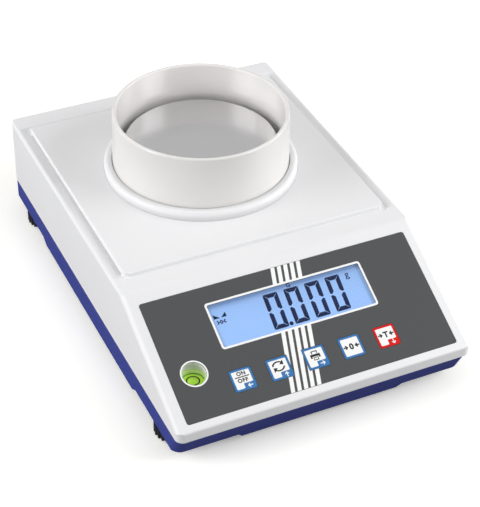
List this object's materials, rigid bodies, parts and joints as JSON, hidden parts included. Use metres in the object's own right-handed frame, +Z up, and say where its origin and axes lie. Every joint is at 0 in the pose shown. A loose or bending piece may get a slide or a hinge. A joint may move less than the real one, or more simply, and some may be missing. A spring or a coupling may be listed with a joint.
{
  "type": "laboratory balance",
  "caption": "Low bench balance with a sloping key panel and display, a ring draft shield round a lift-off pan on a bending-beam load cell, and levelling feet that screw out.",
  "frame": {"origin": "middle of the footprint on the table, under the feet", "axes": "+X to the user's right, +Y from the key panel to the back, +Z up"},
  "size_m": [0.1626, 0.245, 0.097],
  "materials": {
    "tray_blue": "satin",
    "housing_white": "satin",
    "foil_grey": "matt foil",
    "window_clear": "polished",
    "lcd_blue": "gloss",
    "backlight_white": "matt",
    "board_green": "varnished",
    "part_black": "matt",
    "zinc_steel": "zinc plated",
    "bolt_steel": "dull",
    "aluminium_plain": "machined",
    "liquid_green": "clear",
    "lead_grey": "matt",
    "ribbon_grey": "satin",
    "brass_plain": "machined",
    "pan_steel": "satin",
    "key_blue": "matt",
    "key_red": "matt",
    "foot_rubber": "matt",
    "wheel_black": "satin"
  },
  "bodies": {
    "base": {"base_tray": "tray_blue", "top_housing": "housing_white", "panel_foil": "foil_grey", "display_window": "window_clear", "lcd_glass": "lcd_blue", "backlight": "backlight_white", "key_board": "board_green", "key_switches": "part_black", "key_board_screws": "zinc_steel", "level_vial": "window_clear", "level_liquid": "liquid_green", "load_cell": "aluminium_plain", "cell_plate": "zinc_steel", "cell_bolts_fixed": "bolt_steel", "stop_screw": "bolt_steel", "main_board": "board_green", "board_parts": "part_black", "board_screws": "zinc_steel", "cell_lead": "lead_grey", "panel_ribbon": "ribbon_grey", "power_jack": "part_black", "jack_pin": "brass_plain", "data_shell": "zinc_steel", "data_insert": "part_black", "data_nuts": "zinc_steel", "foot_inserts": "brass_plain", "housing_screws": "zinc_steel"},
    "carrier": {"pan_carrier": "aluminium_plain", "cell_bolts_free": "bolt_steel"},
    "pan": {"weighing_pan": "pan_steel"},
    "shield": {"draft_shield": "housing_white"},
    "key_on": {"key_on": "key_blue"},
    "key_cycle": {"key_cycle": "key_blue"},
    "key_print": {"key_print": "key_blue"},
    "key_zero": {"key_zero": "key_blue"},
    "key_tare": {"key_tare": "key_red"},
    "pad_fl": {"foot_pad_fl": "foot_rubber"},
    "wheel_fl": {"foot_wheel_fl": "wheel_black", "foot_stud_fl": "zinc_steel"},
    "pad_fr": {"foot_pad_fr": "foot_rubber"},
    "wheel_fr": {"foot_wheel_fr": "wheel_black", "foot_stud_fr": "zinc_steel"},
    "pad_rl": {"foot_pad_rl": "foot_rubber"},
    "wheel_rl": {"foot_wheel_rl": "wheel_black", "foot_stud_rl": "zinc_steel"},
    "pad_rr": {"foot_pad_rr": "foot_rubber"},
    "wheel_rr": {"foot_wheel_rr": "wheel_black", "foot_stud_rr": "zinc_steel"}
  },
  "joints": [
    {"name": "pan_deflection", "type": "slide", "parent": "base", "child": "carrier", "axis": [0, 0, 1], "range_m": [-0.0003, 0], "stiffness_N_per_m": 8000, "springref_m": 0.00015, "deforming": ["load_cell"]},
    {"name": "pan_lift", "type": "slide", "parent": "carrier", "child": "pan", "axis": [0, 0, 1], "range_m": [0, 0.05]},
    {"name": "shield_lift", "type": "slide", "parent": "base", "child": "shield", "axis": [0, 0, 1], "range_m": [0, 0.06]},
    {"name": "key_on_press", "type": "slide", "parent": "base", "child": "key_on", "axis": [0, -0.421, 0.907], "range_m": [-0.0004, 0], "stiffness_N_per_m": 800, "springref_m": 0.0003},
    {"name": "key_cycle_press", "type": "slide", "parent": "base", "child": "key_cycle", "axis": [0, -0.421, 0.907], "range_m": [-0.0004, 0], "stiffness_N_per_m": 800, "springref_m": 0.0003},
    {"name": "key_print_press", "type": "slide", "parent": "base", "child": "key_print", "axis": [0, -0.421, 0.907], "range_m": [-0.0004, 0], "stiffness_N_per_m": 800, "springref_m": 0.0003},
    {"name": "key_zero_press", "type": "slide", "parent": "base", "child": "key_zero", "axis": [0, -0.421, 0.907], "range_m": [-0.0004, 0], "stiffness_N_per_m": 800, "springref_m": 0.0003},
    {"name": "key_tare_press", "type": "slide", "parent": "base", "child": "key_tare", "axis": [0, -0.421, 0.907], "range_m": [-0.0004, 0], "stiffness_N_per_m": 800, "springref_m": 0.0003},
    {"name": "foot_fl_rise", "type": "slide", "parent": "base", "child": "pad_fl", "axis": [0, 0, 1], "range_m": [-0.004, 0]},
    {"name": "foot_fl_turn", "type": "hinge", "parent": "pad_fl", "child": "wheel_fl", "pos_m": [-0.07, -0.0924, 0.004], "axis": [0, 0, 1], "range_deg": [-1441, 0]},
    {"name": "foot_fr_rise", "type": "slide", "parent": "base", "child": "pad_fr", "axis": [0, 0, 1], "range_m": [-0.004, 0]},
    {"name": "foot_fr_turn", "type": "hinge", "parent": "pad_fr", "child": "wheel_fr", "pos_m": [0.07, -0.0924, 0.004], "axis": [0, 0, 1], "range_deg": [-1441, 0]},
    {"name": "foot_rl_rise", "type": "slide", "parent": "base", "child": "pad_rl", "axis": [0, 0, 1], "range_m": [-0.004, 0]},
    {"name": "foot_rl_turn", "type": "hinge", "parent": "pad_rl", "child": "wheel_rl", "pos_m": [-0.07, 0.1, 0.004], "axis": [0, 0, 1], "range_deg": [-1441, 0]},
    {"name": "foot_rr_rise", "type": "slide", "parent": "base", "child": "pad_rr", "axis": [0, 0, 1], "range_m": [-0.004, 0]},
    {"name": "foot_rr_turn", "type": "hinge", "parent": "pad_rr", "child": "wheel_rr", "pos_m": [0.07, 0.1, 0.004], "axis": [0, 0, 1], "range_deg": [-1441, 0]}
  ],
  "couplings": [
    {"joint": "foot_fl_turn", "follows": "foot_fl_rise", "rad_per_m": 6283.2},
    {"joint": "foot_fr_turn", "follows": "foot_fr_rise", "rad_per_m": 6283.2},
    {"joint": "foot_rl_turn", "follows": "foot_rl_rise", "rad_per_m": 6283.2},
    {"joint": "foot_rr_turn", "follows": "foot_rr_rise", "rad_per_m": 6283.2}
  ]
}
